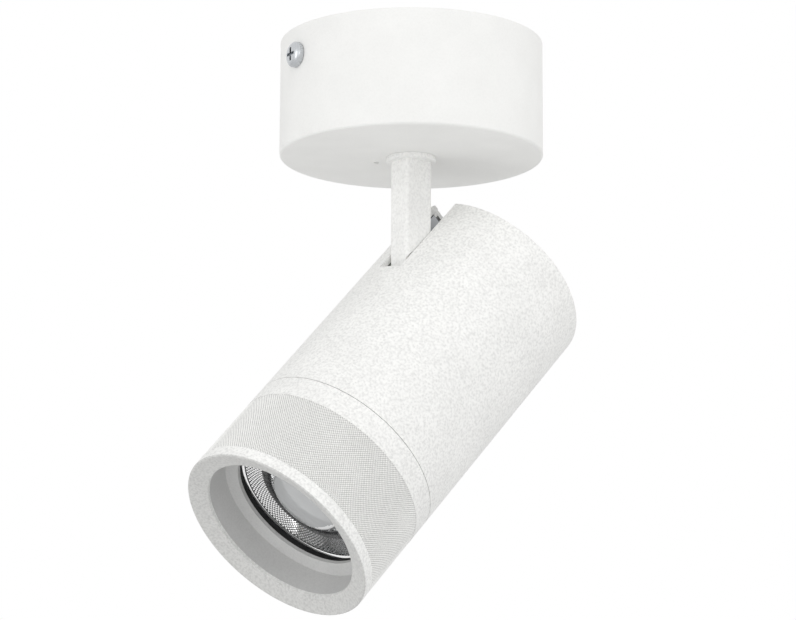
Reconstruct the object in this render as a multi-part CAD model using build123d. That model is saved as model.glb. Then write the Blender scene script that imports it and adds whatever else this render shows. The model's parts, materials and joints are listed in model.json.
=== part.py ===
from build123d import *
from math import radians, degrees, sin, cos
import os

os.makedirs("parts", exist_ok=True)

# Surface-mounted spotlight: a round canopy on the ceiling, a flat-sided stem that swivels
# in its floor, and a round head that tilts on the stem's lower end. A knurled ring round
# the head's front turns to slide the lens.
# The origin is the centre of the canopy's rim on the ceiling, and +Z points up into it.
# The head points to -Y and downwards. All sizes are in millimetres.

# Canopy
canopy_diameter = 77.5
canopy_height = 34.2
canopy_wall = 1.5
canopy_floor = 1.6
canopy_edge_radius = 0.8

# Mounting plate, which is screwed to the ceiling and carries the canopy by two tabs
plate_thickness = 1.5
plate_clearance = 1.0
plate_slot_spacing = 50.0
plate_slot_length = 12.0
plate_slot_width = 4.6
tab_width = 12.0
tab_inset = 0.5
tab_below_screw = 4.5

# Side screws of the canopy
side_screw_azimuth = -97.0
side_screw_depth = 8.8
side_screw_radius = 2.0
side_screw_length = 7.0
side_screw_head_radius = 3.75
side_screw_head_height = 2.3

# Cable entry through the plate
entry_azimuth = -38.0
entry_from_plate_edge = 9.8
entry_bore_radius = 3.6
grommet_wall = 1.6
grommet_lip = 1.4
grommet_lip_height = 1.2

# Driver box under the plate, as long and wide as the plate and the cable entry leave room for
driver_end_room = 6.1
driver_side_room = 0.9
driver_height = 18.0
driver_wall = 1.4
driver_cover_height = 1.6
driver_ear_length = 4.4
driver_screw_radius = 1.25
driver_lead_hole_radius = 3.1
board_thickness = 1.6
board_standoff = 2.0
transformer_size = 12.0
transformer_height = 9.5
capacitor_radius = 4.0
capacitor_length = 12.0

# Mains terminals and the earth screw under the plate
terminal_corner_azimuth = 42.2
terminal_corner_room = 0.75
terminal_width = 9.0
terminal_length = 17.0
terminal_height = 11.0
terminal_pitch = 5.4
terminal_entry_radius = 1.6
terminal_screw_radius = 1.45
earth_azimuth = 146.3
earth_from_plate_edge = 9.5
earth_screw_radius = 2.0
earth_nut_height = 3.2
earth_nut_flats = 7.0

# Swivel joint in the canopy's floor
shank_radius = 5.0
shank_flat_depth = 0.7
bush_wall = 0.9
bush_flange_radius = 8.6
bush_flange_thickness = 0.8
collar_radius = 7.3
collar_thickness = 1.3
stop_washer_radius = 8.4
stop_washer_thickness = 0.9
stop_tab_width = 4.0
stop_tab_reach = 13.2
stop_pin_radius = 0.75
stop_pin_from_axis = 11.9
stop_pin_azimuth = 200.9
stop_pin_recess = 0.9
stop_pin_overlap = 0.6
spring_washer_radius = 8.0
spring_washer_thickness = 0.6
spring_washer_rise = 0.7
lock_nut_flats = 14.0
lock_nut_height = 5.0
shank_end_above_nut = 1.2

# Stem
stem_thickness = 8.2
stem_width = 9.4
stem_edge_radius = 1.0
stem_length = 34.3
stem_wire_bore_radius = 2.4
stem_wire_exit_radius = 2.0
stem_wire_exit_above_pivot = 8.0
stem_eye_thickness = 6.8
washer_recess_radius = 5.6

# Tilt joint
rest_tilt = 46.5
pivot_from_rear = 25.3
pivot_below_head_top = 6.66
hinge_pin_radius = 2.5
hinge_thread_radius = 2.0
hinge_thread_length = 2.7
hinge_head_radius = 3.2
hinge_head_height = 2.4
hinge_head_room = 0.4
hinge_seat_from_slot_centre = 9.5
hinge_spring_thickness = 0.4
hinge_spring_rise = 0.3
hinge_washer_radius = 4.4

# Head housing and its rear cap
head_diameter = 60.0
head_wall = 1.7
housing_length = 81.0
housing_rear_edge_radius = 0.7
slot_width = 8.8
slot_from_head_centre = 4.4
slot_end_gap = 0.4
cap_recess = 0.3
cap_thickness = 1.2
lip_thickness = 1.0
lip_reach = 1.3
cap_screw_radius = 1.5
cap_screw_head_radius = 2.8
cap_screw_length = 9.0
cap_screw_from_bore = 7.3
cap_screw_angles = (190.0, 270.0, 350.0)

# Heat sink
sink_behind_housing_front = 19.0
sink_fin_count = 6
sink_fin_thickness = 1.3
sink_fin_reach = 14.2
sink_rear_block_gap = 3.0
sink_front_block = 4.3
sink_rear_relief = 0.2
lead_hole_radius = 1.6
lead_hole_spacing = 4.0
lead_hole_below_slot_floor = 1.2
lead_channel_behind_pivot = 9.0

# Light source
pad_thickness = 0.3
led_board_size = 19.0
led_board_thickness = 1.5
phosphor_radius = 7.0
phosphor_height = 0.5
holder_radius = 17.0
holder_height = 4.4
holder_bore_radius = 8.2
holder_cone_radius = 10.8
holder_screw_radius = 1.5
holder_screw_head_radius = 2.6
holder_screw_from_axis = 14.0
holder_screw_length = 6.0
holder_screw_sink = 1.2

# Guide sleeve, in which the lens carrier slides
sleeve_room = 2.1
sleeve_wall = 1.4
sleeve_behind_baffle = 0.6
sleeve_foot_thickness = 2.0
sleeve_foot_gap = 1.6
sleeve_shoulder_recess = 3.5
sleeve_shoulder_length = 3.5
sleeve_screw_radius = 1.25
sleeve_screw_head_radius = 2.2
sleeve_screw_length = 6.0
sleeve_screw_angles = (30.0, 150.0, 270.0)

# Focus ring
ring_front_reach = 33.5
seam_gap = 0.25
ring_plain_band = 7.5
ring_front_band = 3.6
ring_knurl_depth = 0.25
ring_front_edge_radius = 0.5
ring_lip_depth = 3.0
mouth_rim = 0.7
mouth_throat_step = 0.4
mouth_bevel_depth = 2.0
spigot_length = 2.85
glide_washer_thickness = 0.8
clip_past_housing = 16.0
clip_wire_radius = 0.5

# Glare baffle inside the ring
baffle_undercut = 0.2
baffle_step_depth = 11.0
baffle_cone_depth = 12.5
baffle_window_step = 3.2
baffle_rear_depth = 13.6

# Lens, its carrier and its cam
focus_turn = 100.0
focus_travel = 8.0
cam_pin_count = 3
cam_pin_radius = 1.4
cam_pin_behind_carrier_front = 7.2
cam_groove_depth = 1.8
cam_pin_head_gap = 0.3
carrier_behind_baffle = 0.7
carrier_length = 14.0
carrier_wall = 1.6
carrier_rim = 1.0
carrier_ledge = 0.8
lens_flange_thickness = 1.8
lens_flange_step = 1.2
lens_behind_carrier_front = 1.6
lens_rim_width = 1.2
lens_dish_radius = 16.5
lens_dish_depth = 1.6
lens_boss_radius = 11.0
lens_boss_height = 2.6
lens_dome_height = 1.6
lens_rear_room = 1.2
lens_rear_radius = 8.6
lens_bulge = 1.6
lens_pocket_radius = 6.2
lens_web = 12.4
lens_pocket_cone = 1.6
retainer_overlap = 0.9

# Clearances
running_fit = 0.05
thread_fit = 0.03
seat_gap = 0.05
slide_gap = 0.3
cam_gap = 0.25

# Worked out from the sizes above
canopy_radius = canopy_diameter / 2
canopy_inner_radius = canopy_radius - canopy_wall
plate_radius = canopy_inner_radius - plate_clearance
tab_face = plate_radius - tab_inset
floor_top = canopy_floor - canopy_height
entry_from_axis = plate_radius - entry_from_plate_edge
entry_x = entry_from_axis * cos(radians(entry_azimuth))
entry_y = entry_from_axis * sin(radians(entry_azimuth))
grommet_radius = entry_bore_radius + grommet_wall
driver_width = 2 * (entry_x - grommet_radius - grommet_lip - driver_side_room)
driver_length = 2 * (plate_radius - driver_ear_length - driver_end_room)
terminal_corner = plate_radius - terminal_corner_room
terminal_x = terminal_corner * cos(radians(terminal_corner_azimuth)) - terminal_width / 2
terminal_y = terminal_corner * sin(radians(terminal_corner_azimuth)) - terminal_length / 2
earth_from_axis = plate_radius - earth_from_plate_edge
earth_x = earth_from_axis * cos(radians(earth_azimuth))
earth_y = earth_from_axis * sin(radians(earth_azimuth))
bush_radius = shank_radius + running_fit + bush_wall
head_radius = head_diameter / 2
head_bore_radius = head_radius - head_wall
pivot_above_axis = head_radius - pivot_below_head_top
slot_end = pivot_from_rear + stem_width / 2 + slot_end_gap
slot_floor = pivot_above_axis - stem_width / 2 - slot_end_gap
cap_screw_from_axis = head_bore_radius - cap_screw_from_bore
sink_radius = head_bore_radius - 2 * seat_gap
sink_core_radius = sink_radius - sink_fin_reach
sink_front = housing_length - sink_behind_housing_front
sink_first_groove = slot_end + sink_rear_block_gap
sink_fin_length = sink_front - sink_front_block - sink_first_groove + sink_fin_thickness
sink_fin_pitch = sink_fin_length / sink_fin_count
cap_rear = cap_recess
cap_front = cap_rear + cap_thickness
lip_front = cap_front + lip_thickness
sink_rear = lip_front + seat_gap
head_front = housing_length + ring_front_reach
baffle_rear = head_front - baffle_rear_depth
holder_front = sink_front + holder_height
sleeve_radius = head_bore_radius - sleeve_room
sleeve_inner_radius = sleeve_radius - sleeve_wall
sleeve_foot_radius = holder_radius + sleeve_foot_gap
sleeve_screw_from_axis = (sleeve_foot_radius + sleeve_inner_radius) / 2
sleeve_front = baffle_rear - sleeve_behind_baffle
sleeve_shoulder_front = housing_length - sleeve_shoulder_recess
ring_rear = housing_length + seam_gap
ring_knurl_start = housing_length + ring_plain_band
ring_knurl_end = head_front - ring_front_band
ring_bore_radius = sleeve_radius + slide_gap
clip_from_rear = housing_length + clip_past_housing
mouth_radius = head_radius - mouth_rim
mouth_throat_radius = sleeve_inner_radius - mouth_throat_step
baffle_bore_radius = mouth_throat_radius + baffle_undercut
baffle_window_radius = baffle_bore_radius - baffle_window_step
carrier_radius = sleeve_inner_radius - slide_gap
carrier_front = baffle_rear - carrier_behind_baffle
cam_pin_from_rear = carrier_front - cam_pin_behind_carrier_front
lens_flange_radius = carrier_radius - carrier_rim
lens_flange_front = carrier_front - lens_behind_carrier_front
lens_rim_radius = lens_flange_radius - lens_rim_width
lens_rear = holder_front + focus_travel + lens_rear_room
retainer_inner_radius = lens_flange_radius - retainer_overlap


def block(x0, x1, y0, y1, z0, z1):
    """A box between two corners."""
    size = (x1 - x0, y1 - y0, z1 - z0)
    return Pos((x0 + x1) / 2, (y0 + y1) / 2, (z0 + z1) / 2) * Box(*size)


def rod(radius, z0, z1, x=0.0, y=0.0):
    """A round bar along Z between two heights."""
    return Pos(x, y, (z0 + z1) / 2) * Cylinder(radius, z1 - z0)


def tube(outer, inner, z0, z1):
    """A round tube along Z; the bore is cut a little past both ends."""
    return rod(outer, z0, z1) - rod(inner, z0 - 1, z1 + 1)


def cone(radius0, radius1, z0, z1, x=0.0, y=0.0):
    """A cone frustum along Z between two heights."""
    return Pos(x, y, (z0 + z1) / 2) * Cone(radius0, radius1, z1 - z0)


def turned(*points):
    """A solid turned round Z from an outline of (radius, height) points."""
    outline = Polyline(*[(r, 0, z) for r, z in points], close=True)
    return revolve(make_face(outline), Axis.Z)


def across(radius, x0, x1, y, z):
    """A round bar along X between two places."""
    return Pos((x0 + x1) / 2, y, z) * Rot(0, 90, 0) * Cylinder(radius, x1 - x0)


def cross_recess(reach, arm, top, depth):
    """The cut of a cross-head driver, open upwards at the given height."""
    bar = block(-reach, reach, -arm / 2, arm / 2, top - depth, top + 1)
    return bar + Rot(0, 0, 90) * bar


def pan_screw(radius, length, head_radius, head_height):
    """A screw along Z with a domed cross head above z = 0 and its shank below."""
    edge = head_height * 0.45
    dome = Spline(
        (head_radius, 0, edge),
        (head_radius * 0.78, 0, head_height * 0.86),
        (0, 0, head_height),
        tangents=((-0.2, 0, 1), (-1, 0, 0)),
    )
    side = Polyline((0, 0, head_height), (0, 0, 0), (head_radius, 0, 0), (head_radius, 0, edge))
    head = revolve(make_face(dome + side), Axis.Z)
    recess = cross_recess(head_radius * 0.52, head_radius * 0.24, head_height, head_height * 0.6)
    return head - recess + rod(radius, -length, 0.01)


def countersunk_screw(radius, length, head_radius):
    """A screw along Z with its flat cross head's top at z = 0 and its shank below."""
    head = cone(radius, head_radius, radius - head_radius, 0)
    recess = cross_recess(head_radius * 0.55, head_radius * 0.26, 0, head_radius * 0.4)
    return head + rod(radius, -length, radius - head_radius) - recess


def countersink(radius, depth, head_radius, clearance):
    """The hole that a countersunk screw at the same place needs."""
    top = clearance * 3
    head = cone(radius + clearance, head_radius + clearance + top, radius - head_radius, top)
    return head + rod(radius + clearance, -depth, radius - head_radius + 0.01)


def disc_spring(inner, outer, bottom, rise, thickness):
    """A dished washer round Z that stands on its outer edge."""
    return turned(
        (inner, bottom + rise),
        (outer, bottom),
        (outer, bottom + thickness),
        (inner, bottom + rise + thickness))


def hex_nut(flats, bore, z0, z1):
    """A hexagon nut along Z between two heights."""
    hexagon = extrude(RegularPolygon(flats / 2, 6, major_radius=False), z1 - z0)
    chamfered = Pos(0, 0, z0) * hexagon & cone(flats * 0.66, flats * 0.53, z0, z1)
    return chamfered - rod(bore, z0 - 1, z1 + 1)


# Canopy: a drawn cup that is open at the ceiling
cup = rod(canopy_radius, -canopy_height, 0)
cup = fillet(cup.edges().group_by(Axis.Z)[0], canopy_edge_radius)
cup -= rod(canopy_inner_radius, floor_top, 1)
cup -= rod(bush_radius + seat_gap, -canopy_height - 1, floor_top + 1)
side_hole = across(side_screw_radius + 4 * seat_gap, canopy_inner_radius - 2, canopy_radius + 2,
                   0, -side_screw_depth)
cup -= [Rot(0, 0, side_screw_azimuth + turn) * side_hole for turn in (0, 180)]
stop_pin_place = Rot(0, 0, stop_pin_azimuth) * Pos(stop_pin_from_axis, 0, 0)
cup -= stop_pin_place * rod(stop_pin_radius + thread_fit, -canopy_height - 1, floor_top + 1)

# Mounting plate with two screw slots, a cable hole and two threaded tabs
plate = rod(plate_radius, -plate_thickness, 0)
for side in (-1, 1):
    slot = SlotOverall(plate_slot_length, plate_slot_width)
    slot = Pos(side * plate_slot_spacing / 2, 0, -plate_thickness - 1) * slot
    plate -= extrude(slot, plate_thickness + 2, dir=(0, 0, 1))
plate -= rod(entry_bore_radius + grommet_wall + seat_gap, -plate_thickness - 1, 1, entry_x, entry_y)
plate -= rod(earth_screw_radius + thread_fit, -plate_thickness - 1, 1, earth_x, earth_y)
tab = block(tab_face - plate_thickness, tab_face, -tab_width / 2, tab_width / 2,
            -side_screw_depth - tab_below_screw, -plate_thickness)
tab = fillet(tab.edges().filter_by(Axis.X).group_by(Axis.Z)[0], tab_width / 4)
tab -= across(side_screw_radius + thread_fit, tab_face - plate_thickness - 1, tab_face + 1,
              0, -side_screw_depth)
for turn in (0, 180):
    plate += Rot(0, 0, side_screw_azimuth + turn) * tab
driver_ear_y = driver_length / 2 + driver_ear_length / 2
for side in (-1, 1):
    plate -= rod(driver_screw_radius + thread_fit, -plate_thickness - 1, 1, 0, side * driver_ear_y)

# The two screws that hold the canopy on the tabs
side_screw = pan_screw(side_screw_radius, side_screw_length + canopy_wall,
                       side_screw_head_radius, side_screw_head_height)
side_screw = Pos(canopy_radius + seat_gap, 0, -side_screw_depth) * Rot(0, 90, 0) * side_screw
side_screws = Compound([Rot(0, 0, side_screw_azimuth + turn) * side_screw for turn in (0, 180)])

# Rubber grommet in the plate's cable hole
grommet = rod(grommet_radius, -plate_thickness - grommet_lip_height, 0)
grommet += rod(grommet_radius + grommet_lip, -plate_thickness - grommet_lip_height - seat_gap,
               -plate_thickness - seat_gap)
grommet -= rod(entry_bore_radius, -plate_thickness - 2 * grommet_lip_height, 1)
grommet = Pos(entry_x, entry_y, 0) * grommet

# Driver: a moulded box with two ears, a cover against the plate, and its board inside
driver_top = -plate_thickness - seat_gap
cover_bottom = driver_top - driver_cover_height
driver_bottom = driver_top - driver_height
half_width = driver_width / 2
half_length = driver_length / 2
case = block(-half_width, half_width, -half_length, half_length, driver_bottom,
             cover_bottom - seat_gap)
case = fillet(case.edges().filter_by(Axis.Z), 2 * driver_wall)
case -= block(driver_wall - half_width, half_width - driver_wall, driver_wall - half_length,
              half_length - driver_wall, driver_bottom + driver_wall, 0)
lead_window = across(driver_lead_hole_radius, -half_width - 1, driver_wall - half_width + 1, 0,
                     driver_bottom + driver_height / 2)
case -= [Rot(0, 0, turn) * lead_window for turn in (0, 180)]
cover = block(-half_width, half_width, -half_length, half_length, cover_bottom, driver_top)
cover = fillet(cover.edges().filter_by(Axis.Z), 2 * driver_wall)
ear_end = half_length + driver_ear_length
cover += block(-driver_ear_length, driver_ear_length, -ear_end, ear_end, cover_bottom, driver_top)
driver_screws = []
for side in (-1, 1):
    place = Pos(0, side * driver_ear_y, cover_bottom - seat_gap) * Rot(180, 0, 0)
    cover -= rod(driver_screw_radius + thread_fit, cover_bottom - 1, 0, 0, side * driver_ear_y)
    driver_screws.append(place * pan_screw(
        driver_screw_radius, driver_cover_height + plate_thickness, driver_ear_length / 2 - 0.2, 1.5))
driver_screws = Compound(driver_screws)
board_inset = driver_wall + 4 * seat_gap
board_bottom = driver_bottom + driver_wall + board_standoff
board_top = board_bottom + board_thickness
board = block(board_inset - half_width, half_width - board_inset, board_inset - half_length,
              half_length - board_inset, board_bottom, board_top)
for sx in (-1, 1):
    for sy in (-1, 1):
        post_x = sx * (half_width - driver_wall - board_standoff)
        post_y = sy * (half_length - driver_wall - board_standoff)
        case += rod(board_standoff, driver_bottom + driver_wall - 0.01, board_bottom - seat_gap,
                    post_x, post_y)
part_base = board_top + seat_gap
transformer = block(-transformer_size / 2, transformer_size / 2, -transformer_size / 2,
                    transformer_size / 2, part_base, part_base + transformer_height)
winding_slot = block(-transformer_size, transformer_size, -transformer_size / 4,
                     transformer_size / 4, part_base + 1.5, part_base + transformer_height - 1.5)
transformer -= winding_slot - block(-transformer_size / 4, transformer_size / 4,
                                    -transformer_size, transformer_size, part_base - 1, 0)
capacitor = Rot(90, 0, 0) * Cylinder(capacitor_radius, capacitor_length)
capacitor = Pos(0, half_length - driver_wall - capacitor_length / 2 - 1,
                part_base + capacitor_radius) * capacitor
choke_y = -half_length + driver_wall + transformer_size / 2 + 1
choke = Pos(0, choke_y, 0) * tube(transformer_size / 2, transformer_size / 5, part_base,
                                  part_base + transformer_height / 2)
driver_parts = Compound([transformer, capacitor, choke])

# Mains terminal block with one way for each core, and its clamping screws
terminal_top = -plate_thickness - seat_gap
terminal = block(-terminal_width / 2, terminal_width / 2, -terminal_length / 2,
                 terminal_length / 2, terminal_top - terminal_height, terminal_top)
terminal_screws = []
for way in (-1, 0, 1):
    y = way * terminal_pitch
    terminal -= across(terminal_entry_radius, -terminal_width, terminal_width, y,
                       terminal_top - terminal_height * 0.45)
    terminal -= rod(terminal_screw_radius + thread_fit, terminal_top - terminal_height - 1,
                    terminal_top - terminal_height * 0.45, 0, y)
    screw = rod(terminal_screw_radius, terminal_top - terminal_height + 0.6,
                terminal_top - terminal_height * 0.45 - terminal_entry_radius * 0.4, 0, y)
    slit = block(-terminal_screw_radius, terminal_screw_radius, y - 0.25, y + 0.25,
                 terminal_top - terminal_height, terminal_top - terminal_height + 1.4)
    terminal_screws.append(screw - slit)
terminal = Pos(terminal_x, terminal_y, 0) * terminal
terminal_screws = Pos(terminal_x, terminal_y, 0) * Compound(terminal_screws)

# Earth stud: a screw pressed in the plate, with its nut
earth_nut_top = -plate_thickness - seat_gap
earth_stud = rod(earth_screw_radius, earth_nut_top - earth_nut_height - 2.5, -seat_gap)
earth_stud = Pos(earth_x, earth_y, 0) * earth_stud
earth_nut = hex_nut(earth_nut_flats, earth_screw_radius + thread_fit,
                    earth_nut_top - earth_nut_height, earth_nut_top)
earth_nut = Pos(earth_x, earth_y, 0) * earth_nut

# Swivel: a flanged bush in the floor, and a stop pin beside it
bush_top = floor_top + seat_gap + bush_flange_thickness
bush = rod(bush_radius, -canopy_height + seat_gap, bush_top)
bush += rod(bush_flange_radius, floor_top + seat_gap, bush_top)
bush -= rod(shank_radius + running_fit, -canopy_height - 1, bush_top + 1)
stop_washer_bottom = bush_top + seat_gap
stop_washer_top = stop_washer_bottom + stop_washer_thickness
stop_pin_top = stop_washer_top + stop_pin_overlap
stop_pin = stop_pin_place * rod(stop_pin_radius, stop_pin_recess - canopy_height, stop_pin_top)

# Swivel: stop washer, spring washer and lock nut, which turn with the stem
flat_azimuth = stop_pin_azimuth + 180
flat_from_axis = shank_radius - shank_flat_depth


def flatted_rod(radius, flat, z0, z1):
    """A round bar along Z with a flat on the side that faces the stop tab."""
    bar = rod(radius, z0, z1)
    bar -= block(flat, radius + 1, -radius - 1, radius + 1, z0 - 1, z1 + 1)
    return Rot(0, 0, flat_azimuth) * bar


stop_washer = rod(stop_washer_radius, stop_washer_bottom, stop_washer_top)
stop_washer += Rot(0, 0, flat_azimuth) * block(0, stop_tab_reach, -stop_tab_width / 2,
                                               stop_tab_width / 2, stop_washer_bottom,
                                               stop_washer_top)
stop_washer -= flatted_rod(shank_radius + thread_fit, flat_from_axis + thread_fit,
                           stop_washer_bottom - 1, stop_washer_top + 1)
spring_bottom = stop_washer_top + seat_gap
spring_washer = disc_spring(shank_radius + 6 * thread_fit, spring_washer_radius, spring_bottom,
                            spring_washer_rise, spring_washer_thickness)
nut_bottom = spring_bottom + spring_washer_rise + spring_washer_thickness + seat_gap
nut_top = nut_bottom + lock_nut_height
lock_nut = hex_nut(lock_nut_flats, shank_radius + thread_fit, nut_bottom, nut_top)

# Stem: threaded shank, collar, flat-sided bar and the eye that the head tilts on
shank_top = nut_top + shank_end_above_nut
collar_top = -canopy_height - seat_gap
bar_top = collar_top - collar_thickness
pivot_z = -canopy_height - stem_length
stem = block(-stem_thickness / 2, stem_thickness / 2, -stem_width / 2, stem_width / 2,
             pivot_z, bar_top)
stem = fillet(stem.edges().filter_by(Axis.Z), stem_edge_radius)
stem += across(stem_width / 2, -stem_thickness / 2, stem_thickness / 2, 0, pivot_z)
collar = rod(collar_radius, bar_top, collar_top)
collar = fillet(collar.edges().filter_by(GeomType.CIRCLE).group_by(Axis.Z)[0],
                collar_thickness / 3)
stem += collar
stem += flatted_rod(shank_radius, flat_from_axis, collar_top, shank_top)
recess = (stem_thickness - stem_eye_thickness) / 2
for side in (-1, 1):
    face = side * stem_eye_thickness / 2
    outside = side * (stem_thickness / 2 + 1)
    stem -= across(washer_recess_radius, min(face, outside), max(face, outside), 0, pivot_z)
stem -= across(hinge_pin_radius + running_fit, -stem_thickness, stem_thickness, 0, pivot_z)
wire_exit_z = pivot_z + stem_wire_exit_above_pivot
stem -= rod(stem_wire_bore_radius, wire_exit_z, shank_top + 1)
stem -= Pos(0, 0, wire_exit_z) * Rot(45, 0, 0) * rod(stem_wire_exit_radius, -stem_width, 0)

# Everything in the head is drawn along its own axis, with z measured from its rear end
# and y towards its top, and is then set at the rest tilt with the hinge on the stem's eye.
# The slot is to one side of the head's middle, so the head hangs to one side of the stem.
tilt = radians(rest_tilt)
forward = Vector(0, -cos(tilt), -sin(tilt))
upward = Vector(0, -sin(tilt), cos(tilt))
slot_centre = Vector(-slot_from_head_centre, 0, pivot_z)
head_origin = slot_centre - upward * pivot_above_axis - forward * pivot_from_rear
head_place = Plane(origin=head_origin, x_dir=(1, 0, 0), z_dir=forward).location

# Slot for the stem, open at the rear end of the housing, the cap and the heat sink
stem_slot = Pos(slot_from_head_centre, 0, 0) * block(
    -slot_width / 2, slot_width / 2, slot_floor, head_radius + 1, -1, slot_end)

# Head housing: a tube with a thin inner lip that the rear cap clamps
housing = rod(head_radius, 0, housing_length)
housing = fillet(housing.edges().group_by(Axis.Z)[0], housing_rear_edge_radius)
housing -= rod(head_bore_radius, -1, cap_front)
housing -= rod(head_bore_radius - lip_reach, cap_front - 1, lip_front + 1)
housing -= rod(head_bore_radius, lip_front, housing_length + 1)
housing -= stem_slot

# Rear cap and its screws
cap = rod(head_bore_radius - seat_gap, cap_rear, cap_front - seat_gap)
cap -= stem_slot
cap_screws = []
cap_screw_places = []
for angle in cap_screw_angles:
    place = Rot(0, 0, angle) * Pos(cap_screw_from_axis, 0, cap_rear) * Rot(180, 0, 0)
    cap_screw_places.append(place)
    cap -= place * countersink(cap_screw_radius, cap_screw_length, cap_screw_head_radius, thread_fit)
    cap_screws.append(place * countersunk_screw(
        cap_screw_radius, cap_screw_length, cap_screw_head_radius))
cap_screws = Compound(cap_screws)

# Heat sink: a turned bar with disc fins, slotted at the rear for the stem
sink = rod(sink_radius - sink_rear_relief, sink_rear, sink_first_groove)
sink += rod(sink_radius, sink_first_groove, sink_front)
for fin in range(sink_fin_count):
    groove_rear = sink_first_groove + fin * sink_fin_pitch
    groove_front = groove_rear + sink_fin_pitch - sink_fin_thickness
    sink -= tube(sink_radius + 1, sink_core_radius, groove_rear, groove_front)
sink -= stem_slot
for place in cap_screw_places:
    sink -= place * countersink(cap_screw_radius, cap_screw_length + 1, cap_screw_head_radius,
                                thread_fit)

# Two holes for the leads: channels in the slot's floor that go on to the heat sink's front
for side in (-1, 1):
    lead_hole_x = slot_from_head_centre + side * lead_hole_spacing / 2
    sink -= rod(lead_hole_radius, pivot_from_rear - lead_channel_behind_pivot, sink_front + 1,
                lead_hole_x, slot_floor - lead_hole_below_slot_floor)

# Hinge: a shoulder screw from one side of the heat sink through the eye into the other side,
# with a spring under its head and a washer each side of the eye
hinge_place = Pos(slot_from_head_centre, pivot_above_axis, pivot_from_rear) * Rot(0, -90, 0)
hinge_shoulder_end = -slot_width / 2 + seat_gap
hinge_spring_bottom = hinge_seat_from_slot_centre + seat_gap
head_seat = hinge_spring_bottom + hinge_spring_rise + hinge_spring_thickness + seat_gap
sink -= hinge_place * rod(hinge_pin_radius + thread_fit, 0, hinge_seat_from_slot_centre + 1)
sink -= hinge_place * rod(hinge_thread_radius + thread_fit, -sink_radius, 0)
sink -= hinge_place * rod(hinge_head_radius + hinge_head_room, hinge_seat_from_slot_centre,
                          sink_radius + slot_from_head_centre)
hinge_screw = rod(hinge_pin_radius, hinge_shoulder_end, head_seat)
hinge_screw += rod(hinge_thread_radius, -slot_width / 2 - hinge_thread_length, hinge_shoulder_end)
hinge_screw += rod(hinge_head_radius, head_seat, head_seat + hinge_head_height)
hinge_screw -= cross_recess(hinge_head_radius * 0.5, hinge_head_radius * 0.24,
                            head_seat + hinge_head_height, hinge_head_height * 0.6)
hinge_screw = hinge_place * hinge_screw
hinge_spring = hinge_place * disc_spring(
    hinge_pin_radius + 2 * thread_fit, hinge_head_radius, hinge_spring_bottom, hinge_spring_rise,
    hinge_spring_thickness)
washer_inner_face = stem_eye_thickness / 2 + seat_gap
washer_outer_face = slot_width / 2 - seat_gap
hinge_washers = []
for side in (-1, 1):
    near = min(side * washer_inner_face, side * washer_outer_face)
    far = max(side * washer_inner_face, side * washer_outer_face)
    hinge_washers.append(hinge_place * tube(
        hinge_washer_radius, hinge_pin_radius + thread_fit, near, far))
hinge_washers = Compound(hinge_washers)

# Light source on the heat sink's front face
half_board = led_board_size / 2
pad = block(-half_board, half_board, -half_board, half_board, sink_front,
            sink_front + pad_thickness)
board_rear = sink_front + pad_thickness
board_front = board_rear + led_board_thickness
led_board = block(-half_board, half_board, -half_board, half_board, board_rear, board_front)
phosphor = rod(phosphor_radius, board_front, board_front + phosphor_height)
phosphor = fillet(phosphor.edges().group_by(Axis.Z)[-1], phosphor_height / 2)
holder = rod(holder_radius, sink_front, holder_front)
pocket = half_board + seat_gap
holder -= block(-pocket, pocket, -pocket, pocket, sink_front - 1, board_front + seat_gap)
holder -= cone(holder_bore_radius, holder_cone_radius, board_front, holder_front + 0.01)
holder_screws = []
for side in (-1, 1):
    place = Pos(side * holder_screw_from_axis, 0, holder_front - holder_screw_sink)
    hole = rod(holder_screw_radius + thread_fit, -holder_screw_length - 1, 2)
    head_room = rod(holder_screw_head_radius + thread_fit, -seat_gap, 2)
    holder -= place * (hole + head_room)
    sink -= place * hole
    holder_screws.append(place * pan_screw(
        holder_screw_radius, holder_screw_length, holder_screw_head_radius, holder_screw_sink))
holder_screws = Compound(holder_screws)

# Guide sleeve: screwed to the heat sink, with straight slots for the cam pins
cam_pin_rear = cam_pin_from_rear - focus_travel
sleeve = turned(
    (sleeve_foot_radius, sink_front),
    (sleeve_radius, sink_front),
    (sleeve_radius, sleeve_shoulder_front - sleeve_shoulder_length),
    (head_bore_radius - 2 * seat_gap, sleeve_shoulder_front - sleeve_shoulder_length),
    (head_bore_radius - 2 * seat_gap, sleeve_shoulder_front),
    (sleeve_radius, sleeve_shoulder_front),
    (sleeve_radius, sleeve_front),
    (sleeve_inner_radius, sleeve_front),
    (sleeve_inner_radius, sink_front + sleeve_foot_thickness),
    (sleeve_foot_radius, sink_front + sleeve_foot_thickness))
pin_slot_half = cam_pin_radius + cam_gap / 2
pin_slot = block(sleeve_inner_radius - 2, sleeve_radius + 2, -pin_slot_half, pin_slot_half,
                 cam_pin_rear, cam_pin_from_rear)
for end in (cam_pin_rear, cam_pin_from_rear):
    pin_slot += across(pin_slot_half, sleeve_inner_radius - 2, sleeve_radius + 2, 0, end)
cam_angles = [90 + 360 / cam_pin_count * index for index in range(cam_pin_count)]
sleeve -= [Rot(0, 0, angle) * pin_slot for angle in cam_angles]
sleeve -= tube(sleeve_radius + 1, sleeve_radius - clip_wire_radius,
               clip_from_rear - clip_wire_radius - seat_gap,
               clip_from_rear + clip_wire_radius + seat_gap)
sleeve_screws = []
for angle in sleeve_screw_angles:
    place = Rot(0, 0, angle) * Pos(sleeve_screw_from_axis, 0, sink_front + sleeve_foot_thickness)
    hole = countersink(sleeve_screw_radius, sleeve_screw_length + 1, sleeve_screw_head_radius,
                       thread_fit)
    sleeve -= place * hole
    sink -= place * hole
    sleeve_screws.append(place * countersunk_screw(
        sleeve_screw_radius, sleeve_screw_length, sleeve_screw_head_radius))
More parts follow.
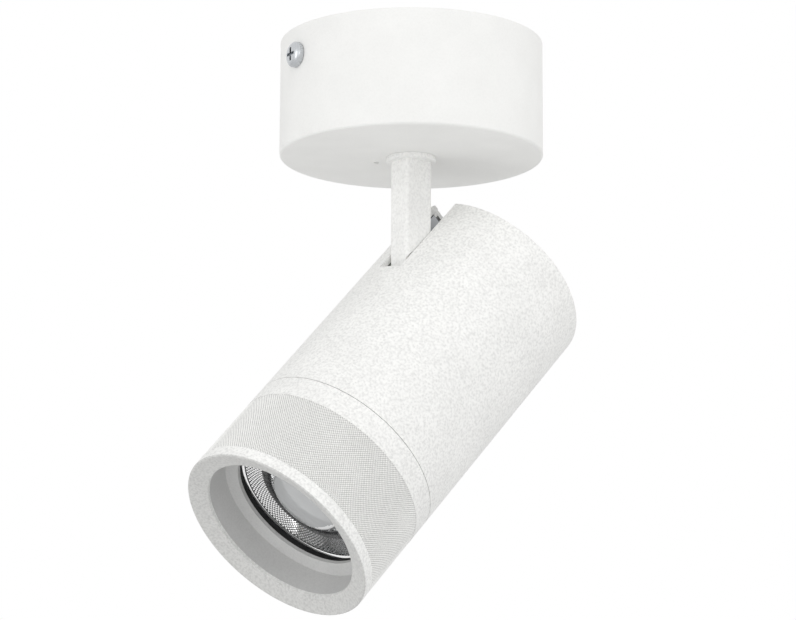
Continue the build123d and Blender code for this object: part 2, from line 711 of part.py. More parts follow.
sleeve_screws = Compound(sleeve_screws)

# Glide washer between the sleeve's shoulder and the ring, and the snap ring that keeps it
spigot_rear = ring_rear - spigot_length
washer_rear = sleeve_shoulder_front + seat_gap
glide_washer = tube(head_bore_radius - slide_gap, sleeve_radius + seat_gap, washer_rear,
                    washer_rear + glide_washer_thickness)
clip = Pos(0, 0, clip_from_rear) * Torus(sleeve_radius + seat_gap, clip_wire_radius)
clip -= Pos(0, -sleeve_radius, clip_from_rear) * Box(8, 8, 8)

# Focus ring: plain band, knurled band and a bevelled mouth; three helical grooves inside
ring = turned(
    (ring_bore_radius, spigot_rear),
    (head_bore_radius - slide_gap, spigot_rear),
    (head_bore_radius - slide_gap, ring_rear),
    (head_radius, ring_rear),
    (head_radius, ring_knurl_start),
    (head_radius - ring_knurl_depth, ring_knurl_start),
    (head_radius - ring_knurl_depth, ring_knurl_end),
    (head_radius, ring_knurl_end),
    (head_radius, head_front),
    (mouth_radius, head_front),
    (mouth_throat_radius, head_front - mouth_bevel_depth),
    (mouth_throat_radius, head_front - ring_lip_depth),
    (ring_bore_radius, head_front - ring_lip_depth))
ring_outer_edges = ring.edges().filter_by(GeomType.CIRCLE)
front_edge = [e for e in ring_outer_edges
              if abs(e.radius - head_radius) < 0.01 and abs(e.center().Z - head_front) < 0.01]
ring = fillet(front_edge, ring_front_edge_radius)
ring -= tube(ring_bore_radius + 2 * clip_wire_radius, ring_bore_radius - 1,
             clip_from_rear - clip_wire_radius - slide_gap,
             clip_from_rear + clip_wire_radius + slide_gap)

# Each groove climbs by the lens's travel in the ring's turn, plus room for the pin's end
groove_half = cam_pin_radius + cam_gap
groove_radius = ring_bore_radius + cam_groove_depth / 2
end_room = degrees(groove_half / groove_radius)
climb = focus_travel / focus_turn
groove_path = Helix(climb * 360, climb * (focus_turn + 2 * end_room), groove_radius)
groove_path = Pos(0, 0, cam_pin_rear - climb * end_room) * groove_path
groove_start = Plane(origin=groove_path @ 0, x_dir=(1, 0, 0), z_dir=groove_path % 0)
groove_section = groove_start * Rectangle(cam_groove_depth + 0.6, 2 * groove_half)
groove = sweep(groove_section, groove_path, binormal=Edge.make_line((0, 0, 0), (0, 0, 1)))
ring -= [Rot(0, 0, angle - focus_turn - end_room) * groove for angle in cam_angles]

# Glare baffle pressed into the ring's mouth from behind
baffle_front = head_front - ring_lip_depth - seat_gap
baffle = turned(
    (baffle_bore_radius, baffle_front),
    (baffle_bore_radius, head_front - baffle_step_depth),
    (baffle_window_radius, head_front - baffle_cone_depth),
    (baffle_window_radius, baffle_rear),
    (ring_bore_radius - seat_gap, baffle_rear),
    (ring_bore_radius - seat_gap, baffle_front))

# Lens carrier with its three cam pins
carrier_rear = carrier_front - carrier_length
lens_seat = lens_flange_front - lens_flange_thickness - seat_gap
carrier = turned(
    (carrier_radius - carrier_wall, carrier_rear),
    (carrier_radius, carrier_rear),
    (carrier_radius, carrier_front),
    (lens_flange_radius + seat_gap, carrier_front),
    (lens_flange_radius + seat_gap, lens_seat),
    (lens_flange_radius - carrier_ledge, lens_seat),
    (lens_flange_radius - carrier_ledge, lens_seat - 2),
    (carrier_radius - carrier_wall, lens_seat - 3))
pin_inner = carrier_radius - carrier_wall + 0.2
pin_outer = ring_bore_radius + cam_groove_depth - cam_pin_head_gap
cam_pins = []
for angle in cam_angles:
    pin = across(cam_pin_radius, pin_inner, pin_outer, 0, cam_pin_from_rear)
    carrier -= Rot(0, 0, angle) * across(cam_pin_radius + thread_fit, pin_inner - 2,
                                         carrier_radius + 1, 0, cam_pin_from_rear)
    cam_pins.append(Rot(0, 0, angle) * pin)
cam_pins = Compound(cam_pins)

# Lens: a clear moulded collimator with a flange, a textured dish and a domed boss
dish_floor = lens_flange_front - lens_dish_depth
boss_top = dish_floor + lens_boss_height
flange_rear = lens_flange_front - lens_flange_thickness
shoulder_radius = lens_flange_radius - lens_flange_step
lens_middle = (flange_rear + lens_rear) / 2
pocket_top = dish_floor - lens_web
lens = turned(
    (lens_rear_radius, lens_rear),
    (shoulder_radius, flange_rear),
    (lens_flange_radius, flange_rear),
    (lens_flange_radius, lens_flange_front),
    (0, lens_flange_front),
    (0, lens_rear))
bulge_line = Line((lens_rear_radius, 0, lens_rear), (shoulder_radius, 0, flange_rear))
bulge_arc = ThreePointArc(
    (lens_rear_radius, 0, lens_rear),
    ((lens_rear_radius + shoulder_radius) / 2 + lens_bulge, 0, lens_middle - lens_bulge / 2),
    (shoulder_radius, 0, flange_rear))
lens += revolve(make_face(bulge_line + bulge_arc), Axis.Z)
lens -= cone(lens_dish_radius, lens_rim_radius, dish_floor, lens_flange_front)
lens += rod(lens_boss_radius, dish_floor - 1, boss_top)
dome_radius = (lens_boss_radius ** 2 + lens_dome_height ** 2) / (2 * lens_dome_height)
dome = Pos(0, 0, boss_top + lens_dome_height - dome_radius) * Sphere(dome_radius)
lens += dome & rod(lens_boss_radius, boss_top - 1, boss_top + lens_dome_height + 1)
pocket = rod(lens_pocket_radius, lens_rear - 1, pocket_top)
pocket += cone(lens_pocket_radius, 0.5, pocket_top, pocket_top + lens_pocket_cone)
lens -= pocket

# Retaining ring that closes the carrier over the lens's flange
retainer = turned(
    (retainer_inner_radius, lens_flange_front + seat_gap),
    (lens_flange_radius, lens_flange_front + seat_gap),
    (lens_flange_radius, carrier_front),
    (retainer_inner_radius + 0.4, carrier_front))

fixed_and_stem = {
    "canopy_cup": cup,
    "mounting_plate": plate,
    "canopy_side_screws": side_screws,
    "cable_grommet": grommet,
    "driver_case": case,
    "driver_cover": cover,
    "driver_screws": driver_screws,
    "driver_board": board,
    "driver_parts": driver_parts,
    "terminal_block": terminal,
    "terminal_screws": terminal_screws,
    "earth_stud": earth_stud,
    "earth_nut": earth_nut,
    "swivel_bush": bush,
    "stop_pin": stop_pin,
    "stop_washer": stop_washer,
    "spring_washer": spring_washer,
    "lock_nut": lock_nut,
    "stem": stem,
}

head_pieces = {
    "head_housing": housing,
    "rear_cap": cap,
    "cap_screws": cap_screws,
    "heat_sink": sink,
    "hinge_screw": hinge_screw,
    "hinge_spring": hinge_spring,
    "hinge_washers": hinge_washers,
    "thermal_pad": pad,
    "led_board": led_board,
    "led_phosphor": phosphor,
    "led_holder": holder,
    "holder_screws": holder_screws,
    "guide_sleeve": sleeve,
    "sleeve_screws": sleeve_screws,
    "glide_washer": glide_washer,
    "retaining_clip": clip,
    "focus_ring": ring,
    "glare_baffle": baffle,
    "lens_carrier": carrier,
    "cam_pins": cam_pins,
    "lens": lens,
    "lens_retainer": retainer,
}

for name, piece in fixed_and_stem.items():
    export_step(piece, f"parts/{name}.step")
for name, piece in head_pieces.items():
    export_step(head_place * piece, f"parts/{name}.step")
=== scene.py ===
import json
from math import cos, pi, radians, sin, sqrt

import bmesh
import bpy
from mathutils import Matrix, Vector


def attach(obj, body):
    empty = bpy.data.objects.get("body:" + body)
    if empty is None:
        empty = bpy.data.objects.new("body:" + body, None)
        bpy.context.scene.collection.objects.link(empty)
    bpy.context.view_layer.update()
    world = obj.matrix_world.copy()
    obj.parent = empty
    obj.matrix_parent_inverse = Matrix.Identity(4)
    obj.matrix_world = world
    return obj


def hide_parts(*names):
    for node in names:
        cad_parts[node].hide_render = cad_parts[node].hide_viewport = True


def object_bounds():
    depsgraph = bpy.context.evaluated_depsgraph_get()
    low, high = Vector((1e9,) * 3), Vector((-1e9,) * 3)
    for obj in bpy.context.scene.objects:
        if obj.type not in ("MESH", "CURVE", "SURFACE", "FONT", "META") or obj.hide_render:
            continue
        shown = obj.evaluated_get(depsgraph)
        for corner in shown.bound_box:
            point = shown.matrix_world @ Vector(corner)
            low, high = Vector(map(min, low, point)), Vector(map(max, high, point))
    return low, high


# White surface-mounted spotlight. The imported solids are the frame: most of them keep their
# shape and get their finish here. The knurling round the focus ring and the faceted lens are
# modelled here.

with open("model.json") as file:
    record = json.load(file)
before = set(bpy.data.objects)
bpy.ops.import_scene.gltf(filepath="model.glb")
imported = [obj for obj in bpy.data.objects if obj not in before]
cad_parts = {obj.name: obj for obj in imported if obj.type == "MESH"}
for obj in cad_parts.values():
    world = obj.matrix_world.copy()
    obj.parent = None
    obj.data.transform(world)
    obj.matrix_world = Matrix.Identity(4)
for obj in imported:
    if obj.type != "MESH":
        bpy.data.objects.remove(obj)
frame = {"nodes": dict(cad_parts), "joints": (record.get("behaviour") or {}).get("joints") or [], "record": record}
cad_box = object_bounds()
nodes = frame["nodes"]
joints = {joint["name"]: joint for joint in frame["joints"]}

mm = 0.001

# The head's own frame: x along the tilt hinge, y towards its top, z along its axis from the
# rear end of the focus ring's band, all in metres.
forward = Vector(joints["focus_turn"]["axis"]).normalized()
sideways = Vector((1, 0, 0))
upward = forward.cross(sideways)
band_rear = Vector(joints["focus_turn"]["pos_m"])
head_place = Matrix((sideways, upward, forward)).transposed().to_4x4()
head_place.translation = band_rear

# Camera, found by fitting the outlines of the canopy and the head
camera_place = Vector((671.0, -535.1, -254.5)) * mm
camera_heading = radians(51.674)
camera_pitch = radians(11.503)
camera_roll = radians(0.248)
sensor_width_mm = 36.0
focal_length_mm = 136.08

# Room
floor_height = -350 * mm
floor_size = 6.0
room_level = 0.74
room_lean = 0.3
softbox_size = 0.9
softboxes = {"softbox_left": ((-0.23, -1.58, 0.04), 3.5),
             "softbox_front": ((1.25, -0.99, 0.04), 2.2),
             "softbox_right": ((1.05, 0.42, 1.03), 4.8)}

# Finishes: how far a face must turn to the head's front, as a cosine, for the painted shade on
# its coat to begin and to end; the width of the coat's cloudy patches; the relief of bare
# metal; and the refractive index of acrylic
front_shade_start = 0.4
front_shade_end = 0.7
coat_cloud = 6 * mm
metal_relief = 0.004 * mm
acrylic_index = 1.49

# Knurled band of the focus ring; floor and brim of a pit are shares of its depth, and bound the painted shade in
# it
knurl_radius = 30.0 * mm
knurl_start = 7.25 * mm
knurl_end = 29.65 * mm
knurl_pitch = 0.8 * mm
knurl_depth = 0.22 * mm
knurl_root = 29.7 * mm
knurl_pit_floor = 0.98
knurl_pit_brim = 0.74
knurl_weld = 0.002 * mm

# Lens
lens_flange_radius = 23.5 * mm
lens_flange_thickness = 1.8 * mm
lens_rim_radius = 22.3 * mm
lens_chamfer_width = 0.5 * mm
lens_chamfer_depth = 0.35 * mm
lens_dish_radius = 16.5 * mm
lens_dish_depth = 1.6 * mm
lens_boss_radius = 11.0 * mm
lens_boss_height = 2.6 * mm
lens_boss_edge = 0.3 * mm
lens_dome_height = 1.6 * mm
lens_dome_rings = 24
# How far below the axis the dome's painted highlight begins
lens_highlight_from = 9.3 * mm
lens_shoulder_radius = 22.3 * mm
lens_rear_radius = 8.6 * mm
lens_bulge = 1.6 * mm
lens_bulge_rings = 10
lens_pocket_radius = 6.2 * mm
lens_pocket_depth = 9.0 * mm
lens_pocket_cone = 1.6 * mm
lens_columns = 224
lens_facet_rows = 10
lens_facet_height = 0.22 * mm

# The lens's material slots
slot_body, slot_facets, slot_dome, slot_mirror, slot_painted_highlight = range(5)

# A colour mix node's two colours among its inputs, and its colour among its outputs
mix_a, mix_b, mix_result = 6, 7, 2


def linear(hex_code):
    """The linear colour, with alpha, of an sRGB hex value."""
    channels = [int(hex_code[i:i + 2], 16) / 255 for i in (0, 2, 4)]
    curve = [c / 12.92 if c <= 0.04045 else ((c + 0.055) / 1.055) ** 2.4 for c in channels]
    return (*curve, 1.0)


def set_inputs(tree, made, inputs):
    """Sets a node's inputs. A value is a constant, or the output socket that feeds it."""
    for name, value in inputs.items():
        if isinstance(value, bpy.types.NodeSocket):
            tree.links.new(value, made.inputs[name])
        else:
            made.inputs[name].default_value = value


def add_node(tree, kind, settings=None, inputs=None):
    """Adds a node with its settings and inputs."""
    made = tree.nodes.new(kind)
    for name, value in (settings or {}).items():
        setattr(made, name, value)
    set_inputs(tree, made, inputs or {})
    return made


def new_material(name):
    """An empty material: its tree, its Principled shader and its Object coordinates."""
    material = bpy.data.materials.new(name)
    material.use_nodes = True
    tree = material.node_tree
    tree.nodes.clear()
    shader = add_node(tree, "ShaderNodeBsdfPrincipled")
    add_node(tree, "ShaderNodeOutputMaterial", inputs={"Surface": shader.outputs["BSDF"]})
    place = add_node(tree, "ShaderNodeTexCoord").outputs["Object"]
    return material, tree, shader, place


def between(tree, factor, low, high, blend="MIX"):
    """A colour that runs from low to high with a factor from 0 to 1, or another blend."""
    return add_node(tree, "ShaderNodeMix", {"data_type": "RGBA", "blend_type": blend},
                    {"Factor": factor, mix_a: low, mix_b: high}).outputs[mix_result]


def product(tree, colour, other):
    """Two colours multiplied."""
    return between(tree, 1.0, colour, other, "MULTIPLY")


def vector_math(tree, operation, vector, other=(0, 0, 0)):
    """The node that works on a vector, and on a fixed second one where it takes two."""
    return add_node(tree, "ShaderNodeVectorMath", {"operation": operation},
                    {0: vector, 1: other}).outputs


def levels(tree, value, from_low, from_high, to_low, to_high):
    """A value mapped from one range to another and held inside it."""
    return add_node(tree, "ShaderNodeMapRange", {}, {
        "Value": value, "From Min": from_low, "From Max": from_high,
        "To Min": to_low, "To Max": to_high}).outputs["Result"]


def grain(tree, place, size, detail=2.0):
    """Noise whose grains are about as wide as the size given, in metres."""
    return add_node(tree, "ShaderNodeTexNoise", {}, {
        "Vector": place, "Scale": 1 / (2 * size), "Detail": detail}).outputs["Fac"]


def bumped(tree, height, distance, strength=1.0):
    """A normal raised by a height from 0 to 1 over a distance in metres."""
    return add_node(tree, "ShaderNodeBump", {}, {
        "Height": height, "Distance": distance, "Strength": strength}).outputs["Normal"]


def powder_coat(name, colour, shade, speck, texture, peel, pit_shade=None, front=None):
    """Polyester powder coat, sprayed and baked: matt, with a fine texture of its own and
    specks that darken it. Pit shade is painted shade deep in each pit: its colour, and the radii
    round the head's axis that it spans. Front is painted shade: the colour of the faces that look to the head's
    front."""
    material, tree, shader, place = new_material(name)
    cloud = grain(tree, place, coat_cloud, 3.0)
    fine = grain(tree, place, texture, 3.0)
    tone = between(tree, levels(tree, cloud, 0.35, 0.65, 0.0, 1.0), linear(shade), linear(colour))
    # Painted shade in each pit, darker towards the pit floor
    if pit_shade:
        pit_shade_colour, pit_radius, tip_radius = pit_shade
        raised = levels(tree, from_axis(tree, place), pit_radius, tip_radius, 0.0, 1.0)
        tone = between(tree, raised, linear(pit_shade_colour), tone)
    # Painted shade on the faces that look to the head's front
    if front:
        normal = add_node(tree, "ShaderNodeTexCoord").outputs["Normal"]
        facing = vector_math(tree, "DOT_PRODUCT", normal, forward)["Value"]
        tone = between(tree, levels(tree, facing, front_shade_start, front_shade_end, 0.0, 1.0),
                       tone, linear(front))
    specks = between(tree, levels(tree, fine, 0.3, 0.6, 0.0, 1.0), linear(speck),
                     linear("FFFFFF"))
    set_inputs(tree, shader, {
        "Base Color": product(tree, tone, specks),
        "Roughness": levels(tree, fine, 0.3, 0.7, 0.5, 0.62),
        "Normal": bumped(tree, fine, peel)})
    return material


def from_axis(tree, place):
    """The distance of a place from the head's axis."""
    offset = vector_math(tree, "SUBTRACT", place, band_rear)["Vector"]
    across = vector_math(tree, "CROSS_PRODUCT", offset, forward)["Vector"]
    return vector_math(tree, "LENGTH", across)["Value"]


def plated_metal(name, colour, roughness, wear):
    """Bright plated or turned metal with a faint cloudiness in its gloss."""
    material, tree, shader, place = new_material(name)
    cloud = grain(tree, place, wear, 4.0)
    set_inputs(tree, shader, {
        "Base Color": linear(colour),
        "Metallic": 1.0,
        "Roughness": levels(tree, cloud, 0.3, 0.7, roughness * 0.75, roughness * 1.25),
        "Normal": bumped(tree, cloud, metal_relief)})
    return material


def turned_metal(name, colour, roughness, feed):
    """Metal turned on a lathe: rings round the head's axis, one tool feed apart."""
    material, tree, shader, place = new_material(name)
    along = vector_math(tree, "DOT_PRODUCT", place, forward)["Value"]
    phase = add_node(tree, "ShaderNodeMath", {"operation": "MULTIPLY"},
                     {0: along, 1: 2 * pi / feed})
    ring = add_node(tree, "ShaderNodeMath", {"operation": "SINE"}, {0: phase.outputs[0]})
    cloud = grain(tree, place, 2 * mm, 3.0)
    set_inputs(tree, shader, {
        "Base Color": linear(colour),
        "Metallic": 1.0,
        "Roughness": levels(tree, cloud, 0.3, 0.7, roughness * 0.8, roughness * 1.2),
        "Normal": bumped(tree, ring.outputs[0], metal_relief)})
    return material


def moulded(name, colour, shade, roughness, texture, depth, soft=0.0):
    """Moulded plastic or rubber with a spark-eroded skin."""
    material, tree, shader, place = new_material(name)
    skin = grain(tree, place, texture, 2.0)
    cloud = grain(tree, place, 5 * mm, 2.0)
    tone = between(tree, levels(tree, cloud, 0.35, 0.65, 0.0, 1.0), linear(shade), linear(colour))
    set_inputs(tree, shader, {
        "Base Color": tone,
        "Roughness": levels(tree, skin, 0.3, 0.7, roughness - 0.05, roughness + 0.05),
        "Subsurface Weight": soft,
        "Subsurface Scale": 1 * mm,
        "Normal": bumped(tree, skin, depth)})
    return material


def clear_plastic(name, colour, clear, gloss):
    """Injection-moulded acrylic. Clear is the share of light that passes through it, and gloss
    is the index of its skin, set above acrylic's own where the photograph is brighter."""
    material, tree, shader, place = new_material(name)
    haze = grain(tree, place, 3 * mm, 2.0)
    set_inputs(tree, shader, {
        "Base Color": linear(colour),
        "Transmission Weight": clear,
        "IOR": acrylic_index,
        "Coat Weight": 1.0,
        "Coat Roughness": 0.03,
        "Coat IOR": gloss,
        "Roughness": levels(tree, haze, 0.3, 0.7, 0.02, 0.04)})
    return material


finishes = {
    # Fine-textured coat on the aluminium castings: matt white, never quite even
    "white_aluminium": powder_coat("powder_coated_aluminium", "F8F8F6", "F4F4F2", "E6E6E6",
                                   0.36 * mm, 0.05 * mm),
    # The same coat on the steel stem
    "white_steel": powder_coat("powder_coated_steel", "F9F9F7", "F6F6F4", "F0F0F0", 0.36 * mm,
                               0.04 * mm),
    # Turned bare bar: grey with a soft sheen across the tool marks
    "bare_aluminium": turned_metal("turned_aluminium", "A4A6A8", 0.38, 0.25 * mm),
    # Bright zinc over steel: cold, clouded mirror
    "zinc_steel": plated_metal("zinc_plated_steel", "C4C7CA", 0.28, 0.8 * mm),
    # Turned brass: warm and slightly dulled
    "brass": plated_metal("turned_brass", "C8A658", 0.3, 0.6 * mm),
    # Polycarbonate housings: cool white, satin
    "white_plastic": moulded("moulded_polycarbonate", "E9E9E6", "E3E3E0", 0.42, 0.12 * mm,
                             0.01 * mm),
    # Nylon bush and washers: cream, waxy and a little translucent
    "nylon": moulded("moulded_nylon", "E2DFD2", "DAD7CA", 0.45, 0.3 * mm, 0.004 * mm, 0.15),
    # Glass-filled black plastic: satin, slightly grey where light grazes it
    "black_plastic": moulded("moulded_black_nylon", "1A1A1B", "151516", 0.38, 0.12 * mm, 0.01 * mm),
    # Rubber grommet: dull black
    "black_rubber": moulded("moulded_rubber", "1B1B1B", "161616", 0.75, 0.2 * mm, 0.01 * mm),
    # Solder mask on glass-epoxy board: deep green and glossy
    "board_green": moulded("solder_mask", "1F5B36", "194D2E", 0.25, 0.6 * mm, 0.004 * mm),
    # Silicone heat pad: grey, soft
    "grey_pad": moulded("silicone_pad", "8A8E93", "7F8388", 0.7, 0.3 * mm, 0.006 * mm),
    # Glazed ceramic board: white and smooth
    "ceramic_white": moulded("glazed_ceramic", "EDEDE9", "E8E8E4", 0.2, 1.5 * mm, 0.002 * mm),
    # Silicone over phosphor: yellow gel
    "phosphor": moulded("phosphor_gel", "E6C84C", "DDB93A", 0.3, 0.4 * mm, 0.004 * mm, 0.2),
    # Clear acrylic, dark over the black carrier
    "clear_acrylic": clear_plastic("clear_acrylic", "E8EAEB", 0.93, 1.5),
}
# Smoother coat on the drawn canopy
canopy_coat = powder_coat("smooth_powder_coat", "F3F3F1", "F0F0EE", "FCFCFC", 0.3 * mm,
                          0.006 * mm)
# Painted shade inside the mouth: a grey-white coat on the baffle, where the shade falls
baffle_shade_coat = powder_coat("painted_shade_powder_coat", "D0D0CF", "CBCBCA", "F6F6F6", 0.3 * mm, 0.01 * mm)
# The castings' coat on the knurling, with painted shade deep in each pit
knurl_coat = powder_coat("powder_coated_knurling", "F8F8F6", "F4F4F2", "F6F6F6", 0.36 * mm,
                         0.02 * mm, pit_shade=("868684", knurl_radius - knurl_depth * knurl_pit_floor,
                                          knurl_radius - knurl_depth * knurl_pit_brim))
# The castings' coat on the focus ring, with painted shade on its forward faces, which look darker in the
# photograph
ring_coat = powder_coat("powder_coated_ring", "F8F8F6", "F4F4F2", "E6E6E6", 0.36 * mm, 0.05 * mm,
                        front="D4D4D2")
# The lens's facets, glossier than plain acrylic to match the photograph
facet_acrylic = clear_plastic("faceted_acrylic", "E8EAEB", 0.9, 1.9)
# The domed boss, which looks pale and almost solid in the photograph: a paler, mostly opaque
# copy of the acrylic, painted light for the light the dome gathers
pale_dome_painted_light = clear_plastic("pale_dome_painted_light", "E4E6E7", 0.35, 1.7)
# The lens's chamfered rim and one side of each facet: mirror metal in place of acrylic, to
# match the bright rim and sparkle in the photograph
mirror_finish = plated_metal("mirror_rim", "FFFFFF", 0.06, 1.5 * mm)
# Painted highlight: a white wedge low on the dome, as the photograph shows it; what lights it isn't known
highlight_wedge_acrylic = clear_plastic("painted_highlight_acrylic", "FFFFFF", 0.0, 1.7)

for part in frame["record"]["subparts"]:
    mesh = nodes[part["node"]].data
    mesh.materials.clear()
    mesh.materials.append(finishes[part["material_slot"]])
nodes["canopy_cup"].data.materials[0] = canopy_coat
nodes["glare_baffle"].data.materials[0] = baffle_shade_coat
nodes["focus_ring"].data.materials[0] = ring_coat


def new_tree(name, sizes):
    """A geometry tree with a named input for each size, and its input and output nodes."""
    tree = bpy.data.node_groups.new(name, "GeometryNodeTree")
    tree.interface.new_socket("Geometry", in_out="OUTPUT", socket_type="NodeSocketGeometry")
    for label, kind in sizes.items():
        tree.interface.new_socket(label, in_out="INPUT", socket_type=kind)
    return tree, tree.nodes.new("NodeGroupInput").outputs, tree.nodes.new("NodeGroupOutput")


def grown(name, tree, values, place):
    """The mesh object that a geometry tree makes with these values, set in its place."""
    carrier = bpy.data.objects.new(name + "_carrier", bpy.data.meshes.new(name + "_carrier"))
    bpy.context.scene.collection.objects.link(carrier)
    modifier = carrier.modifiers.new(name, "NODES")
    modifier.node_group = tree
    for item in tree.interface.items_tree:
        if item.in_out == "INPUT":
            modifier[item.identifier] = values[item.name]
    bpy.context.view_layer.update()
    evaluated = carrier.evaluated_get(bpy.context.evaluated_depsgraph_get())
    mesh = bpy.data.meshes.new_from_object(evaluated)
    bpy.data.objects.remove(carrier)
    mesh.name = name
    mesh.transform(place)
    piece = bpy.data.objects.new(name, mesh)
    bpy.context.scene.collection.objects.link(piece)
    return piece


def knurl_tree():
    """A closed sleeve with diamond knurling outside. A grid is rolled up: its columns go
    round, its lines go along, and every other point of the outer lines is a pit."""
    tree, sizes, output = new_tree("diamond_knurl", {
        "Columns": "NodeSocketInt", "Rows": "NodeSocketInt", "Radius": "NodeSocketFloat",
        "Depth": "NodeSocketFloat", "Root": "NodeSocketFloat", "Start": "NodeSocketFloat",
        "Length": "NodeSocketFloat", "Finish": "NodeSocketMaterial"})

    def reckon(operation, a, b=0.0, c=0.0):
        return add_node(tree, "ShaderNodeMath", {"operation": operation},
                        {0: a, 1: b, 2: c}).outputs[0]

    columns = sizes["Columns"]
    rows = sizes["Rows"]
    lines = reckon("ADD", rows, 3.0)
    grid = add_node(tree, "GeometryNodeMeshGrid", {}, {
        "Size X": columns, "Size Y": lines,
        "Vertices X": reckon("ADD", columns, 1.0), "Vertices Y": reckon("ADD", lines, 1.0)})
    at = add_node(tree, "ShaderNodeSeparateXYZ", {},
                  {"Vector": tree.nodes.new("GeometryNodeInputPosition").outputs[0]})
    column = reckon("ROUND", reckon("MULTIPLY_ADD", columns, 0.5, at.outputs["X"]))
    line = reckon("ROUND", reckon("MULTIPLY_ADD", lines, 0.5, at.outputs["Y"]))
    pit = reckon("PINGPONG", reckon("ADD", column, line), 1.0)
    outer = reckon("MULTIPLY", reckon("GREATER_THAN", line, 0.5),
                   reckon("LESS_THAN", line, reckon("ADD", rows, 1.5)))
    tooth = reckon("SUBTRACT", sizes["Radius"], reckon("MULTIPLY", pit, sizes["Depth"]))
    rise = reckon("SUBTRACT", tooth, sizes["Root"])
    radius = reckon("MULTIPLY_ADD", rise, outer, sizes["Root"])
    row = reckon("MINIMUM", reckon("MAXIMUM", reckon("SUBTRACT", line, 1.0), 0.0), rows)
    row = reckon("MULTIPLY", row, reckon("LESS_THAN", line, reckon("ADD", rows, 2.5)))
    angle = reckon("MULTIPLY", reckon("DIVIDE", column, columns), 2 * pi)
    rolled = add_node(tree, "ShaderNodeCombineXYZ", {}, {
        "X": reckon("MULTIPLY", radius, reckon("COSINE", angle)),
        "Y": reckon("MULTIPLY", radius, reckon("SINE", angle)),
        "Z": reckon("MULTIPLY_ADD", reckon("DIVIDE", row, rows), sizes["Length"],
                    sizes["Start"])})
    sleeve = add_node(tree, "GeometryNodeSetPosition", {}, {
        "Geometry": grid.outputs["Mesh"], "Position": rolled.outputs[0]})
    closed = add_node(tree, "GeometryNodeMergeByDistance", {}, {
        "Geometry": sleeve.outputs[0], "Distance": knurl_weld})
    # The valleys run along the shorter diagonals, from pit to pit
    cut = tree.nodes.new("GeometryNodeTriangulate")
    if "Quad Method" in cut.inputs:
        cut.inputs["Quad Method"].default_value = "Shortest Diagonal"
    else:
        cut.quad_method = "SHORTEST_DIAGONAL"
    tree.links.new(closed.outputs[0], cut.inputs[0])
    flat = add_node(tree, "GeometryNodeSetShadeSmooth", {}, {
        "Geometry": cut.outputs[0], "Shade Smooth": False})
    real = add_node(tree, "GeometryNodeRealizeInstances", {}, {"Geometry": flat.outputs[0]})
    coated = add_node(tree, "GeometryNodeSetMaterial", {}, {
        "Geometry": real.outputs[0], "Material": sizes["Finish"]})
    tree.links.new(coated.outputs[0], output.inputs[0])
    return tree


def make_knurl():
    """The knurled skin that fills the focus ring's shallow recess."""
    step = knurl_pitch / 2
    columns = 2 * round(pi * knurl_radius / step)
    knurl = grown("focus_ring_knurling", knurl_tree(), {
        "Columns": columns,
        "Rows": round((knurl_end - knurl_start) / step),
        "Radius": knurl_radius,
        "Depth": knurl_depth,
        "Root": knurl_root,
        "Start": knurl_start,
        "Length": knurl_end - knurl_start,
        "Finish": knurl_coat}, head_place)
    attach(knurl, "focus_ring")


make_knurl()


def head_reach(node):
    """How far a node reaches along the head's axis: its rear and front, in the head's frame."""
    depths = [(vertex.co - band_rear).dot(forward) for vertex in nodes[node].data.vertices]
    return min(depths), max(depths)


def lens_rings():
    """The lens's outline as (radius, height, facet, material) from the top of its dome, over
    its front and round its back, to the top of the pocket over the light source. Each line
    names the material of the band that leads to it."""
    rear, top = head_reach("lens")
    boss_top = top - lens_dome_height
    floor = boss_top - lens_boss_height
    front = floor + lens_dish_depth
    dome = (lens_boss_radius ** 2 + lens_dome_height ** 2) / (2 * lens_dome_height)
    rings = []
    for i in range(1, lens_dome_rings + 1):
        radius = (lens_boss_radius - lens_boss_edge) * i / lens_dome_rings
        rings.append((radius, top - dome + sqrt(dome ** 2 - radius ** 2), 0, slot_dome))
    rings.append((lens_boss_radius, boss_top - lens_boss_edge, 0, slot_dome))
    rings.append((lens_boss_radius, floor, 0, slot_body))
    chamfer_radius = lens_rim_radius - lens_chamfer_width
    slope = Vector((chamfer_radius - lens_dish_radius, lens_dish_depth - lens_chamfer_depth))
    outward = Vector((-slope.y, slope.x)).normalized() * lens_facet_height
    for i in range(lens_facet_rows + 1):
        share = i / lens_facet_rows
        inner = 0 < i < lens_facet_rows
        rings.append((lens_dish_radius + slope.x * share, floor + slope.y * share,
                      outward if inner else 0, slot_facets if i else slot_body))
    rings.append((lens_rim_radius, front, 0, slot_mirror))
    rings.append((lens_flange_radius, front, 0, slot_body))
    flange_rear = front - lens_flange_thickness
    rings.append((lens_flange_radius, flange_rear, 0, slot_body))
    for i in range(lens_bulge_rings + 1):
        share = i / lens_bulge_rings
        swell = sin(pi * share) * lens_bulge
        radius = lens_shoulder_radius + (lens_rear_radius - lens_shoulder_radius) * share + swell
        height = flange_rear + (rear - flange_rear) * share - swell / 2
        rings.append((radius, height, 0, slot_body))
    rings.append((lens_pocket_radius, rear, 0, slot_body))
    rings.append((lens_pocket_radius, rear + lens_pocket_depth, 0, slot_body))
    return rings, (top, rear + lens_pocket_depth + lens_pocket_cone)


